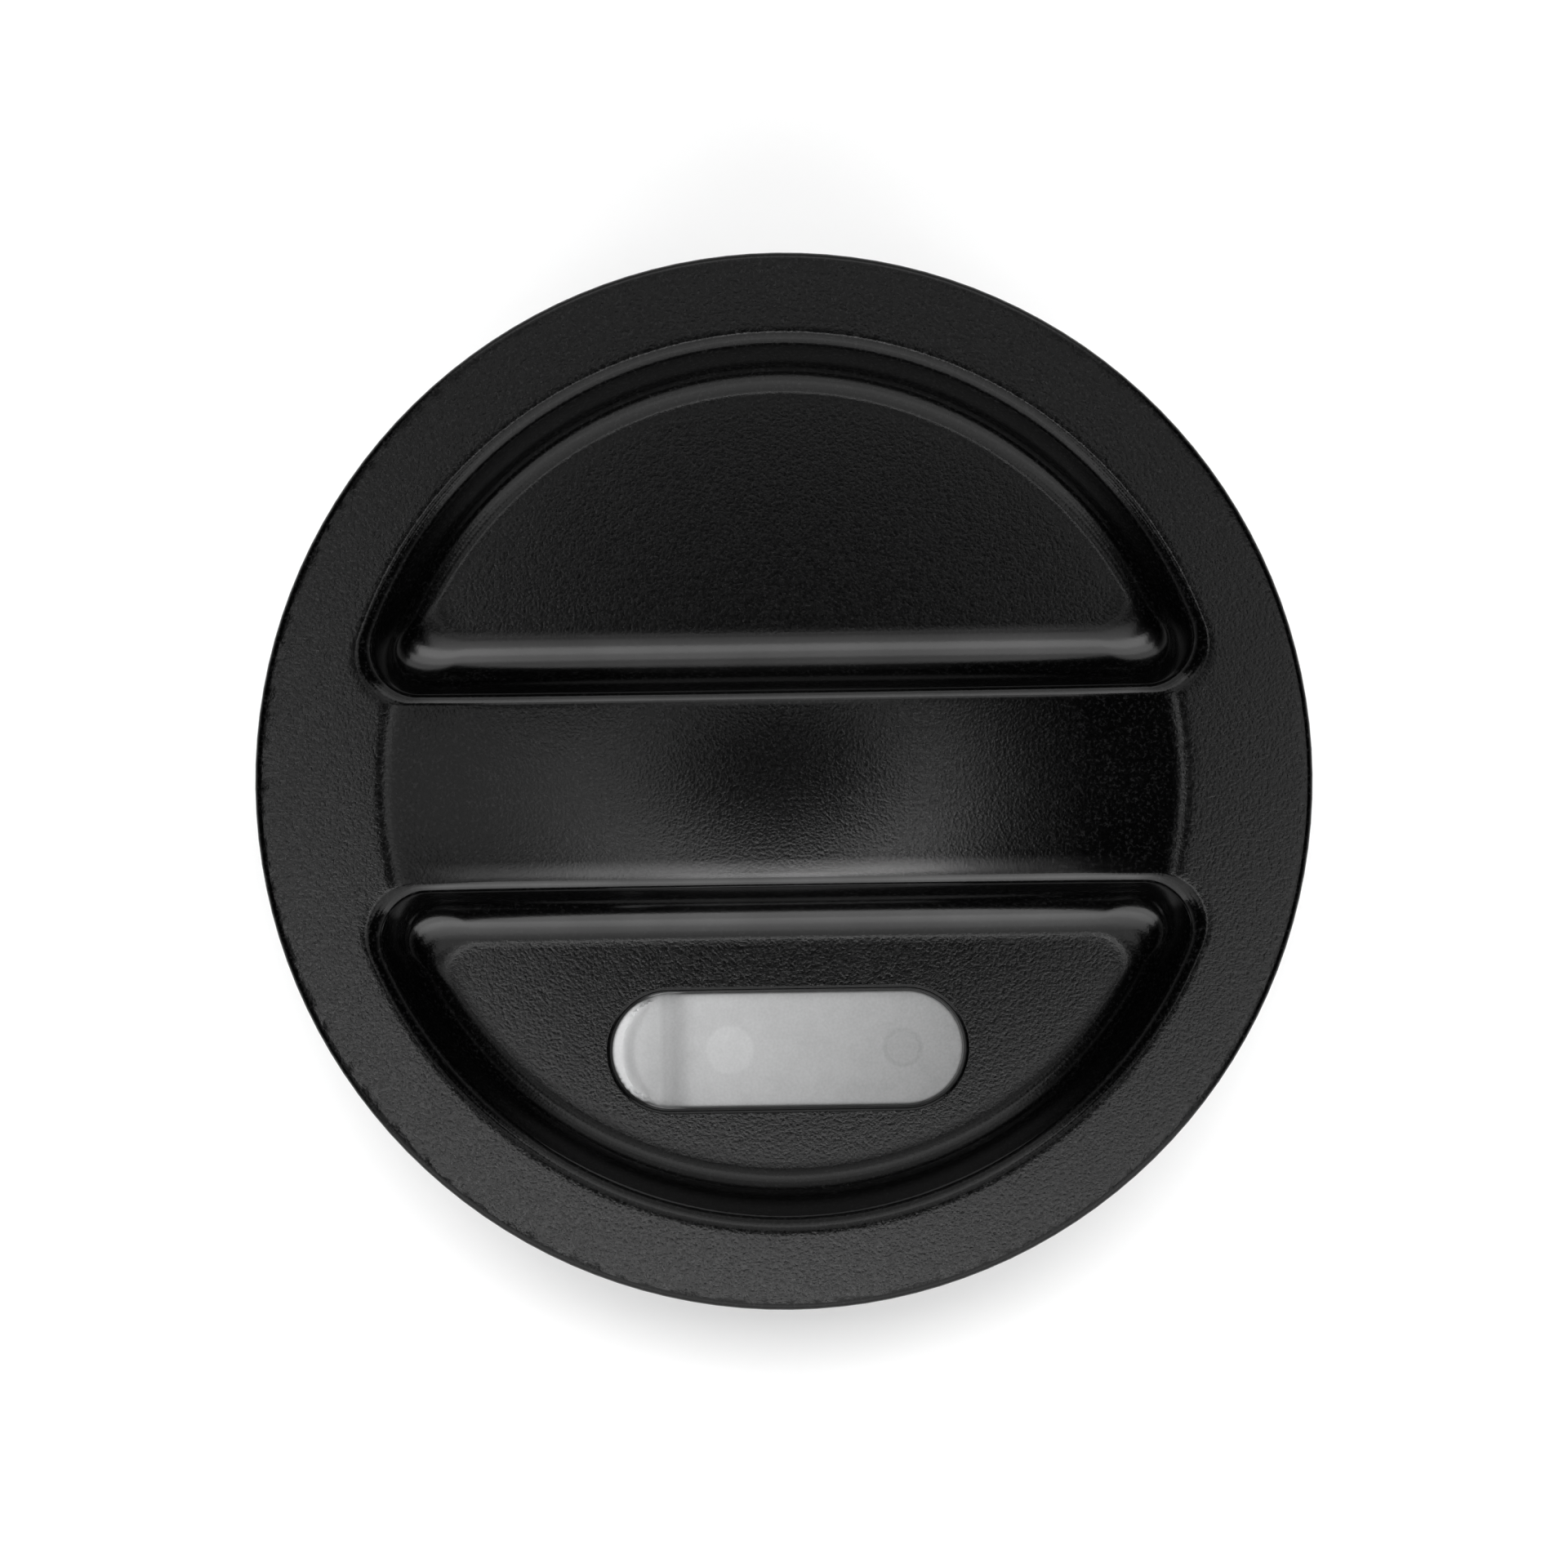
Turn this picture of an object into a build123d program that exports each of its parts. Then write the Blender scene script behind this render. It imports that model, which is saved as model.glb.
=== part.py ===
"""Round desk cable grommet for an 80 mm hole.

A black moulded lid with a grip bar between two finger pockets sits in a liner, and the liner is
clamped to the worktop by a ring nut from below. A translucent door slides under the lid's cord
slot, which is in one of the two pockets.

Millimetres, +Z up. The origin is on the liner's axis, in the plane of the worktop's top surface.
The grip bar runs along X, and the cord slot is on its -Y side.
"""

from build123d import *
from math import radians, tan
import os

# Lid plate and rim
LID_R = 44.0
LID_TOP = 5.4
LID_PLATE = 2.3
RIM_WALL = 1.4
RIM_DROP = 2.6
RIM_ROUND = 0.5

# Lid tub: a skirt that hangs in the liner, and the pockets' walls and floors
SKIRT_R = 37.3
SKIRT_WALL = 2.0
SKIRT_BOTTOM = -11.2
TUB_WALL = 1.8

# Finger pockets and the grip bar between them
POCKET_R = 36.5
POCKET_DEPTH = 8.4
POCKET_DRAFT = 8.0
POCKET_CORNER = 4.6
POCKET_RIM_ROUND = 0.9
POCKET_FLOOR_ROUND = 2.6
BAR_HALF = 8.4
BAR_SHIFT = -0.5

# Dish in the bar's top: long and shallow along X, slightly crowned along Y
DISH_R = 33.2
DISH_DEPTH = 3.0
DISH_HALF = 11.0
DISH_CROWN = 260.0
DISH_SKIN = 2.0

# Cord slot in the pocket on the -Y side
SLOT_Y = -22.6
SLOT_LONG = 30.0
SLOT_WIDE = 10.0

# Sliding cord door, drawn closed: it runs in a recess under the pocket's floor, and its raised
# pad all but fills the slot
DOOR_SKIN = 0.7
DOOR_GAP = 0.1
DOOR_THICK = 1.3
DOOR_OVERLAP = 0.7
DOOR_TRAVEL = 8.6
PAD_RISE = 0.3
PAD_END_GAP = 0.5
PAD_SIDE_GAP = 0.15
LIP_RISE = 1.1
LIP_THICK = 1.65
SCOOP_LONG = 5.0
SCOOP_DEEP = 0.8
DISC_MARK = (-4.9, 2.05)
RING_MARK = (9.7, 1.7)
MARK_HIGH = 0.25
MARK_LINE = 0.3

# Door retainer: a plate with two rails, screwed up under the pocket's floor
RAIL_CLEAR = 0.15
RAIL_WALL = 1.2
RAIL_HIGH = 1.7
RETAINER_PLATE = 1.5
RETAINER_HALF = (19.0, 10.9)
RETAINER_TRIM_R = 34.9
SCREW_POINTS = [(-16.0, 9.1), (16.0, 9.1), (-7.0, -9.1), (7.0, -9.1)]
BOSS_R = 1.9
SCREW_R = 1.1
SCREW_HOLE_R = 1.25
SCREW_BITE = 2.9
SCREW_TIP_GAP = 0.3
SCREW_HEAD_R = 1.9
SCREW_HEAD = 1.2
CROSS_LONG = 2.0
CROSS_WIDE = 0.5
CROSS_DEEP = 0.7

# Bowed leaf spring that pinches the door's edge, in a recess of the rail nearer the bar
SPRING_LONG = 14.0
SPRING_BOW = 0.45
SPRING_THICK = 0.25
SPRING_HIGH = 1.2
SPRING_DROP = 0.1
SPRING_AIR = 0.05
RECESS_DEEP = 0.8
RECESS_LONG = 15.0

# Split friction ring in the groove of the lid's skirt
RING_Z = (-10.3, -7.9)
RING_R = (36.4, 37.57)
GROOVE_R = 36.25
GROOVE_CLEAR = 0.1
RING_SPLIT = 5.0

# Liner sleeve
LINER_BORE = 37.65
LINER_LOW_BORE = 36.4
LINER_LEDGE = -12.0
LINER_OUTER = 39.6
LINER_NECK = 38.9
LINER_FLANGE_R = 42.2
LINER_FLANGE = (1.0, 2.6)
LINER_EDGE_ROUND = 0.4
LINER_BOTTOM = -42.0

# Foam gasket under the liner's flange, and the felt pad ring under the lid's plate
GASKET_R = (39.9, 41.9)
PAD_R = (38.4, 41.6)
PAD_THICK = 0.4

# Clamp thread, keyed thrust washer and ring nut
WORKTOP = 25.0
PITCH = 4.0
THREAD_ROOT = 38.6
THREAD_TOP = -14.5
THREAD_BOTTOM = -40.5
THREAD_SINK = 0.2
THREAD_FOOT = 2.2
THREAD_CREST = 1.2
THREAD_AIR = 0.2
KEY_WIDE = 6.0
KEY_CLEAR = 0.25
KEY_FLOOR_R = 38.45
WASHER_THICK = 1.6
WASHER_R = (39.8, 43.3)
WASHER_TAB_R = 38.8
NUT_GAP = 0.1
NUT_HIGH = 8.0
NUT_BORE = 39.8
NUT_CREST = 38.8
NUT_R = 42.3
NUT_RIB_R = 43.4
NUT_RIBS = 24
NUT_RIB_WIDE = 2.6
NUT_RIB_INSET = 0.9
NUT_EDGE = 0.5
RIB_EDGE = 0.35
LINER_END_EDGE = 0.3
WASHER_EDGE = 0.2

# Worked out from the above
FLOOR_Z = LID_TOP - POCKET_DEPTH
FLOOR_UNDER = FLOOR_Z - TUB_WALL
PLATE_UNDER = LID_TOP - LID_PLATE
SKIRT_BORE = SKIRT_R - SKIRT_WALL
SLOT_HALF = SLOT_WIDE / 2
SLOT_END = SLOT_LONG / 2 - SLOT_HALF
DOOR_CEILING = FLOOR_Z - DOOR_SKIN
DOOR_PAD = DOOR_CEILING - DOOR_GAP
DOOR_TOP = DOOR_PAD - PAD_RISE
DOOR_UNDER = DOOR_TOP - DOOR_THICK
DOOR_HALF = SLOT_HALF + DOOR_OVERLAP
CHANNEL_FLOOR = DOOR_UNDER - DOOR_GAP
RETAINER_TOP = FLOOR_UNDER - RAIL_HIGH
RETAINER_UNDER = RETAINER_TOP - RETAINER_PLATE
CHANNEL_HALF = DOOR_HALF + RAIL_CLEAR
RAIL_OUTER = CHANNEL_HALF + RAIL_WALL
WASHER_TOP = -WORKTOP
NUT_TOP = WASHER_TOP - WASHER_THICK - NUT_GAP
FAR = 100.0


def disc(radius, low, high):
    """A solid cylinder about Z between two heights."""
    return extrude(Pos(0, 0, low) * Circle(radius), amount=high - low)


def tube(outer, inner, low, high):
    """A ring about Z between two heights."""
    return extrude(Pos(0, 0, low) * (Circle(outer) - Circle(inner)), amount=high - low)


def softened(turned, radius, size):
    """The same turned body with its edges at one radius chamfered."""
    rims = [edge for edge in turned.edges().filter_by(GeomType.CIRCLE) if abs(edge.radius - radius) < 1e-6]
    return chamfer(rims, size)


def obround(half, low, high, shift=0.0, longer=0.0):
    """An upright slot-shaped prism on the cord slot's end centres, moved along X or made longer."""
    outline = Pos(shift, SLOT_Y, low) * SlotCenterToCenter(2 * SLOT_END + longer, 2 * half)
    return extrude(outline, amount=high - low)


def pocket(side, grow, depth, floor_round):
    """One finger pocket's space, a D drafted in towards its floor. Its walls' outside with grow."""
    radius = POCKET_R + grow
    edge = BAR_HALF - grow
    beyond = Pos(0, side * (edge + radius / 2) + BAR_SHIFT) * Rectangle(2 * radius, radius)
    outline = Circle(radius) & beyond
    outline = fillet(outline.vertices(), POCKET_CORNER + grow)
    body = extrude(Pos(0, 0, LID_TOP) * outline, amount=-depth, taper=POCKET_DRAFT)
    if floor_round:
        body = fillet(body.faces().sort_by(Axis.Z)[0].edges(), floor_round)
    return body


def dish(skin):
    """The space over the bar's top, lowered by skin: a slightly waisted roller lying along Y."""
    radius = (DISH_R**2 + DISH_DEPTH**2) / (2 * DISH_DEPTH)
    waist = radius + skin
    end = waist + DISH_HALF**2 / (2 * DISH_CROWN)
    profile = Polyline((end, DISH_HALF), (0, DISH_HALF), (0, -DISH_HALF), (end, -DISH_HALF))
    profile += ThreePointArc((end, -DISH_HALF), (waist, 0), (end, DISH_HALF))
    roller = revolve(make_face(profile), axis=Axis.Y)
    return Pos(0, 0, LID_TOP - DISH_DEPTH + radius) * roller


def make_lid_cover():
    body = disc(LID_R, PLATE_UNDER - RIM_DROP, LID_TOP)
    body = fillet(body.edges().sort_by(Axis.Z)[-1], RIM_ROUND)
    body -= disc(LID_R - RIM_WALL, PLATE_UNDER - RIM_DROP, PLATE_UNDER)
    body += disc(SKIRT_R, SKIRT_BOTTOM, PLATE_UNDER)
    hollow = disc(SKIRT_BORE, SKIRT_BOTTOM, PLATE_UNDER) - dish(DISH_SKIN)
    for side in (1, -1):
        hollow -= pocket(side, TUB_WALL, POCKET_DEPTH + TUB_WALL, 0)
    body -= hollow
    for side in (1, -1):
        body -= pocket(side, 0, POCKET_DEPTH, POCKET_FLOOR_ROUND)
    pocket_rims = body.faces().sort_by(Axis.Z)[-1].inner_wires().edges()
    body = fillet(pocket_rims, POCKET_RIM_ROUND)
    body -= dish(0) & disc(DISH_R, FLOOR_Z, LID_TOP + 1)
    body -= tube(SKIRT_R + 1, GROOVE_R, RING_Z[0] - GROOVE_CLEAR, RING_Z[1] + GROOVE_CLEAR)
    body -= obround(SLOT_HALF, FLOOR_UNDER - 1, FLOOR_Z + 1)
    run = DOOR_TRAVEL
    body -= obround(CHANNEL_HALF, FLOOR_UNDER - 1, DOOR_CEILING, shift=run / 2, longer=run)
    for x, y in SCREW_POINTS:
        place = Pos(x, SLOT_Y + y)
        body += place * disc(BOSS_R, RETAINER_TOP, FLOOR_UNDER + TUB_WALL / 2)
        body -= place * disc(SCREW_R, RETAINER_TOP, RETAINER_TOP + SCREW_BITE)
    return body


def make_cord_door():
    """A plate with a pad that fills the slot, a pull lip and a finger scoop at the pad's -X end."""
    pad_half = SLOT_HALF - PAD_SIDE_GAP
    shorter = 2 * (PAD_SIDE_GAP - PAD_END_GAP)
    lip = obround(pad_half, DOOR_TOP - DOOR_THICK / 2, DOOR_PAD + LIP_RISE, longer=shorter)
    lip -= obround(pad_half, DOOR_UNDER, DOOR_TOP + FAR, LIP_THICK, shorter)
    lip &= Pos(-SLOT_LONG / 2, SLOT_Y) * Box(SLOT_LONG / 2, SLOT_WIDE, FAR)
    half = SCOOP_LONG / 2
    scoop_r = (half**2 + SCOOP_DEEP**2) / (2 * SCOOP_DEEP)
    scoop_x = PAD_END_GAP + LIP_THICK + half - SLOT_LONG / 2
    roller = Rot(90, 0, 0) * Cylinder(scoop_r, 2 * pad_half)
    door = obround(DOOR_HALF, DOOR_UNDER, DOOR_TOP)
    door += obround(pad_half, DOOR_TOP, DOOR_PAD, longer=shorter)
    door -= Pos(scoop_x, SLOT_Y, DOOR_PAD + scoop_r - SCOOP_DEEP) * roller
    door += lip
    spot = disc(DISC_MARK[1], DOOR_UNDER - MARK_HIGH, DOOR_UNDER + MARK_HIGH)
    door += Pos(DISC_MARK[0], SLOT_Y) * spot
    ring = tube(RING_MARK[1], RING_MARK[1] - MARK_LINE, DOOR_UNDER, DOOR_UNDER + MARK_HIGH)
    return door - Pos(RING_MARK[0], SLOT_Y) * ring


def make_door_retainer():
    """A plate with two rails and, between them, a bed that the door slides on."""
    half_x, half_y = RETAINER_HALF
    shape = Pos(0, SLOT_Y) * Rectangle(2 * half_x, 2 * half_y)
    shape += Pos(half_x, SLOT_Y) * Rectangle(2 * half_x, 2 * RAIL_OUTER)
    shape &= Circle(RETAINER_TRIM_R)
    plate = extrude(Pos(0, 0, RETAINER_UNDER) * shape, amount=RETAINER_PLATE)
    rails = extrude(Pos(0, 0, RETAINER_TOP) * shape, amount=FLOOR_UNDER - RETAINER_TOP)
    rails &= Pos(0, SLOT_Y) * Box(FAR, 2 * RAIL_OUTER, FAR)
    rails -= obround(CHANNEL_HALF, CHANNEL_FLOOR, FLOOR_UNDER, longer=FAR, shift=FAR / 2)
    rails -= Pos(0, SLOT_Y + CHANNEL_HALF) * Box(RECESS_LONG, 2 * RECESS_DEEP, FAR)
    body = plate + rails - obround(SLOT_HALF, RETAINER_UNDER, CHANNEL_FLOOR)
    for x, y in SCREW_POINTS:
        body -= Pos(x, SLOT_Y + y) * disc(SCREW_HOLE_R, RETAINER_UNDER, RETAINER_TOP)
    return body


def make_retainer_screws():
    """Four pan-head self-tapping screws with cross recesses, heads down."""
    under = RETAINER_UNDER - SCREW_HEAD
    head = disc(SCREW_HEAD_R, under, RETAINER_UNDER)
    head = fillet(head.edges().sort_by(Axis.Z)[0], SCREW_HEAD / 2)
    bar = Box(CROSS_LONG, CROSS_WIDE, 2 * CROSS_DEEP)
    cross = bar + Rot(0, 0, 90) * bar
    shank = disc(SCREW_R, RETAINER_UNDER, RETAINER_TOP + SCREW_BITE - SCREW_TIP_GAP)
    screw = shank + head - Pos(0, 0, under) * cross
    return Compound([Pos(x, SLOT_Y + y) * screw for x, y in SCREW_POINTS])


def make_door_spring():
    """A bowed leaf whose middle all but touches the door's edge on the bar's side."""
    half = SPRING_LONG / 2
    face_y = SLOT_Y + DOOR_HALF + SPRING_AIR
    inner = ThreePointArc((-half, face_y + SPRING_BOW), (0, face_y), (half, face_y + SPRING_BOW))
    back = face_y + SPRING_THICK
    outer = ThreePointArc((half, back + SPRING_BOW), (0, back), (-half, back + SPRING_BOW))
    ends = Line(inner @ 1, outer @ 0) + Line(outer @ 1, inner @ 0)
    leaf = Pos(0, 0, FLOOR_UNDER - SPRING_DROP) * make_face(inner + outer + ends)
    return extrude(leaf, amount=-SPRING_HIGH)


def make_friction_ring():
    middle = (RING_R[0] + RING_R[1]) / 2
    ring = tube(RING_R[1], RING_R[0], RING_Z[0], RING_Z[1])
    return ring - Pos(0, middle, 0) * Box(RING_SPLIT, 8, FAR)


def thread_ridge(feet, crests, low, turns):
    """A helical ridge from a radius and width at its foot and at its crest, starting on +X."""
    around = ((feet, -1), (feet, 1), (crests, 1), (crests, -1))
    corners = [(r, side * wide / 2) for (r, wide), side in around]
    edges = [Edge.make_helix(PITCH, turns * PITCH, r, center=(0, 0, low + z)) for r, z in corners]
    faces = [Face.make_surface_from_curves(a, b) for a, b in zip(edges, edges[1:] + edges[:1])]
    for end in (0, 1):
        faces.append(Face(Wire.make_polygon([edge.position_at(end) for edge in edges])))
    return Solid(Shell(faces))


def ridge_width(radius):
    """The liner's ridge width at a radius, on the straight line from its foot to its crest."""
    foot_r = THREAD_ROOT - THREAD_SINK
    share = (radius - foot_r) / (LINER_OUTER - foot_r)
    return THREAD_FOOT + share * (THREAD_CREST - THREAD_FOOT)


def make_liner_sleeve():
    body = tube(LINER_FLANGE_R, LINER_BORE, *LINER_FLANGE)
    body = fillet(body.edges().sort_by(Axis.Z)[-2:].sort_by(SortBy.LENGTH)[-1], LINER_EDGE_ROUND)
    body += tube(LINER_NECK, LINER_BORE, 0, LINER_FLANGE[1])
    body += tube(LINER_OUTER, LINER_BORE, LINER_LEDGE, 0)
    spigot = tube(THREAD_ROOT, LINER_LOW_BORE, LINER_BOTTOM, LINER_LEDGE)
    spigot_rims = spigot.edges().filter_by(GeomType.CIRCLE).group_by(Axis.Z)[0]
    body += chamfer(spigot_rims, LINER_END_EDGE)
    foot_r = THREAD_ROOT - THREAD_SINK
    turns = (THREAD_TOP - THREAD_BOTTOM) / PITCH
    ridge = thread_ridge((foot_r, THREAD_FOOT), (LINER_OUTER, THREAD_CREST), THREAD_BOTTOM, turns)
    high = LINER_LEDGE - LINER_BOTTOM
    keyways = Pos(0, 0, LINER_BOTTOM + high / 2) * Box(FAR, KEY_WIDE, high)
    keyways &= tube(LINER_OUTER + 1, KEY_FLOOR_R, LINER_BOTTOM, LINER_LEDGE)
    return body + ridge - keyways


def make_thrust_washer():
    """A steel ring with two tabs that run in the liner's keyways, so it slides but doesn't turn."""
    low = WASHER_TOP - WASHER_THICK
    ring = softened(tube(WASHER_R[1], WASHER_R[0], low, WASHER_TOP), WASHER_R[1], WASHER_EDGE)
    tabs = tube(WASHER_R[0] + 1, WASHER_TAB_R, low, WASHER_TOP)
    tabs &= Pos(0, 0, low) * Box(FAR, KEY_WIDE - 2 * KEY_CLEAR, FAR)
    return ring + tabs


def make_clamp_nut():
    low = NUT_TOP - NUT_HIGH
    body = softened(tube(NUT_R, NUT_BORE, low, NUT_TOP), NUT_R, NUT_EDGE)
    rib_in = NUT_R - 1
    block = Box(NUT_RIB_R - rib_in, NUT_RIB_WIDE, NUT_HIGH - 2 * NUT_RIB_INSET)
    block = chamfer(block.edges().group_by(Axis.X)[-1], RIB_EDGE)
    rib = Pos((rib_in + NUT_RIB_R) / 2, 0, (low + NUT_TOP) / 2) * block
    for k in range(NUT_RIBS):
        body += Rot(0, 0, 360 * k / NUT_RIBS) * rib
    foot_r = NUT_BORE + THREAD_SINK / 2
    foot = PITCH - ridge_width(foot_r) - 2 * THREAD_AIR
    crest = PITCH - ridge_width(NUT_CREST) - 2 * THREAD_AIR
    start = low + foot / 2 + THREAD_AIR
    turns = (NUT_HIGH - foot - 2 * THREAD_AIR) / PITCH
    ridge = thread_ridge((foot_r, foot), (NUT_CREST, crest), start, turns)
    phase = 360 * ((start - THREAD_BOTTOM) / PITCH - 0.5)
    return body + Rot(0, 0, phase) * ridge


PARTS = {
    "lid_cover": make_lid_cover,
    "cord_door": make_cord_door,
    "door_retainer": make_door_retainer,
    "retainer_screws": make_retainer_screws,
    "door_spring": make_door_spring,
    "lid_pad_ring": lambda: tube(PAD_R[1], PAD_R[0], PLATE_UNDER - PAD_THICK, PLATE_UNDER),
    "friction_ring": make_friction_ring,
    "liner_sleeve": make_liner_sleeve,
    "desk_gasket": lambda: tube(GASKET_R[1], GASKET_R[0], 0, LINER_FLANGE[0]),
    "thrust_washer": make_thrust_washer,
    "clamp_nut": make_clamp_nut,
}

os.makedirs("parts", exist_ok=True)
for name, make in PARTS.items():
    export_step(make(), f"parts/{name}.step")
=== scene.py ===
"""Looks for the desk grommet: a moulded lid, its translucent cord door and the clamped liner.

Lengths inside the shape functions are in millimetres and become metres where a mesh is made.
"""

import math

import bmesh
import bpy
import numpy as np
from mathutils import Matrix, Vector
from mathutils.geometry import delaunay_2d_cdt


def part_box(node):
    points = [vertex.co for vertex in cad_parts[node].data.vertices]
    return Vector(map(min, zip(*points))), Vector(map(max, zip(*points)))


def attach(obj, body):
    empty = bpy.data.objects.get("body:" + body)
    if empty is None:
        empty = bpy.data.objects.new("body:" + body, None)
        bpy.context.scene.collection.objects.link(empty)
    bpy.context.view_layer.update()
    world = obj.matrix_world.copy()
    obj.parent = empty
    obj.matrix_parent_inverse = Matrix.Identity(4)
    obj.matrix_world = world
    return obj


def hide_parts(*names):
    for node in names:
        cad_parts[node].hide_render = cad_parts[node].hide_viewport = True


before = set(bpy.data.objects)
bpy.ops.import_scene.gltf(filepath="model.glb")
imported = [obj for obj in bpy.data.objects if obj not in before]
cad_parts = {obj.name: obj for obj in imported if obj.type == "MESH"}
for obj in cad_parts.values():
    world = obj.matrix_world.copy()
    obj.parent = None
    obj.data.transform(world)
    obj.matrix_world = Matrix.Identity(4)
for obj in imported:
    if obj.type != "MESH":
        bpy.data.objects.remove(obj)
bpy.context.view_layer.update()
MM = 0.001
WELD = 1e-3

# ---------------------------------------------------------------------------------------------
# Measures, in millimetres
# ---------------------------------------------------------------------------------------------
LID_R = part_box("lid_cover")[1].x / MM
LID_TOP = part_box("lid_cover")[1].z / MM
STAND_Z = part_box("liner_sleeve")[0].z / MM
RIM_ROUND = 0.5

POCKET_DEPTH = 8.4
BAR_REACH = 31.0
FLOOR_Z = LID_TOP - POCKET_DEPTH
RIM_WALL = {"at": 37.5, "round": 1.4, "foot": 2.4, "run": 4.9}
BAR_WALL = {
    1: {"at": 6.7, "round": 1.0, "foot": 4.7, "run": 5.9},
    -1: {"at": 8.0, "round": 0.9, "foot": 4.0, "run": 5.35},
}
STEEPEST = math.radians(84)
CORNER_ROUND = 4.2
CORNER_TIGHTER = 0.3
ARC_STEPS = 200
CORNER_STEPS = 32
BAR_STEPS = 140
FLAT_BEFORE = 0.4
FLAT_AFTER = 0.5
TOP_MESH = 0.75
FINE_MESH = 0.4
FLOOR_MESH = 1.5

DISH_R = 33.2
DISH_DEPTH = 3.0
DISH_CROWN = 260.0
BAR_FLAT_X = 24.0
BAR_FLAT_Y = 10.0
BAR_EASE_X = 8.0
BAR_EASE_Y = 6.0
CREASE = 0.16
CREASE_MESH = 1.5

SLOT_Y = -22.6
SLOT_HALF = 5.0
SLOT_END = 10.0
SLOT_ROUND = 0.3
DOOR_SKIN = 0.7

DOOR_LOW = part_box("cord_door")[0].z / MM
DOOR_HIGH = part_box("cord_door")[1].z / MM
DOOR_HALF = 5.7
PAD_Z = FLOOR_Z - 0.8
PAD_RISE = 0.3
PAD_HALF = 4.85
PAD_END = 9.93
MARK_HIGH = 0.25
DOOR_UNDER = DOOR_LOW + MARK_HIGH
DISC_MARK = (-4.9, 2.05)
RING_MARK = (9.7, 1.7)
MARK_LINE = 0.3
PAD_ROUND = 0.26
DOOR_ROUND = 0.15
LIP_THICK = 1.65
LIP_TIP = -10.4
LIP_SLOPE = 1.5
LIP_TOP_WIDE = 0.8
LIP_ENDS_LONG = 2.2
LIP_BLEND = 0.5
SCOOP_LONG = 5.0
SCOOP_DEEP = 0.4
SCOOP_SKEW = 1.3
SCOOP_NARROW = 2.5
NICK_MEAN = 0.05
NICK_SPREAD = 0.09
DOOR_MESH_LIP = 0.22
DOOR_MESH_FLAT = 0.7
DOOR_MESH_UNDER = 2.0
MARK_STEPS = 48
MARK_DRAFT = 0.05

# ---------------------------------------------------------------------------------------------
# Camera
# ---------------------------------------------------------------------------------------------
CAMERA_HIGH = 600.0
LID_SHARE_OF_VIEW = 0.675
VIEW_WIDE = 2 * LID_R / LID_SHARE_OF_VIEW
VIEW_ROLL = math.radians(0.85)
VIEW_DOWN = -0.23


def make_camera():
    """Straight above the lid, turned a little, as wide as the lid's share of the picture asks."""
    data = bpy.data.cameras.new("camera")
    data.sensor_width = 36
    data.sensor_fit = "HORIZONTAL"
    data.angle = 2 * math.atan(VIEW_WIDE / 2 / CAMERA_HIGH)
    data.clip_start = 0.01
    data.clip_end = 10
    camera = bpy.data.objects.new("camera", data)
    camera.location = Vector((0, VIEW_DOWN, LID_TOP + CAMERA_HIGH)) * MM
    camera.rotation_euler = (0, 0, -VIEW_ROLL)
    bpy.context.scene.collection.objects.link(camera)
    bpy.context.scene.camera = camera


make_camera()

# ---------------------------------------------------------------------------------------------
# Mesh helpers
# ---------------------------------------------------------------------------------------------


def soft_min(a, b, blend):
    """The lower of two heights, with the crease between them rounded."""
    h = np.clip(blend - np.abs(a - b), 0, None) / blend
    return np.minimum(a, b) - h * h * blend / 4


def soft_max(a, b, blend):
    """The higher of two heights, with the crease between them rounded."""
    return -soft_min(-a, -b, blend)


def ease(t):
    """0 to 1 along a smooth step."""
    t = np.clip(t, 0, 1)
    return t * t * (3 - 2 * t)


def grid_points(step, keep=None):
    """Points of a triangular grid over the lid: all, or those that keep(x, y) accepts."""
    row = step * math.sqrt(3) / 2
    points = []
    for j in range(int(2 * LID_R / row) + 1):
        xs = np.arange(-LID_R + (j % 2) * step / 2, LID_R, step)
        ys = np.full_like(xs, -LID_R + j * row)
        row_points = np.column_stack([xs, ys])
        points.append(row_points[keep(xs, ys)] if keep else row_points)
    return np.concatenate(points)


def inside_polygon(polygon, x, y):
    """Which places lie inside a closed outline."""
    px, py = polygon[:, 0], polygon[:, 1]
    qx, qy = np.roll(px, -1), np.roll(py, -1)
    crossing = (py > y[:, None]) != (qy > y[:, None])
    rise = np.where(qy == py, 1, qy - py)
    at = px + (y[:, None] - py) * (qx - px) / rise
    return np.sum(crossing & (x[:, None] < at), axis=1) % 2 == 1


def nearest(points, x, y):
    """How far each place is from the closest of some points."""
    return np.sqrt(np.min((x[:, None] - points[:, 0]) ** 2 + (y[:, None] - points[:, 1]) ** 2, axis=1))


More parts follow.
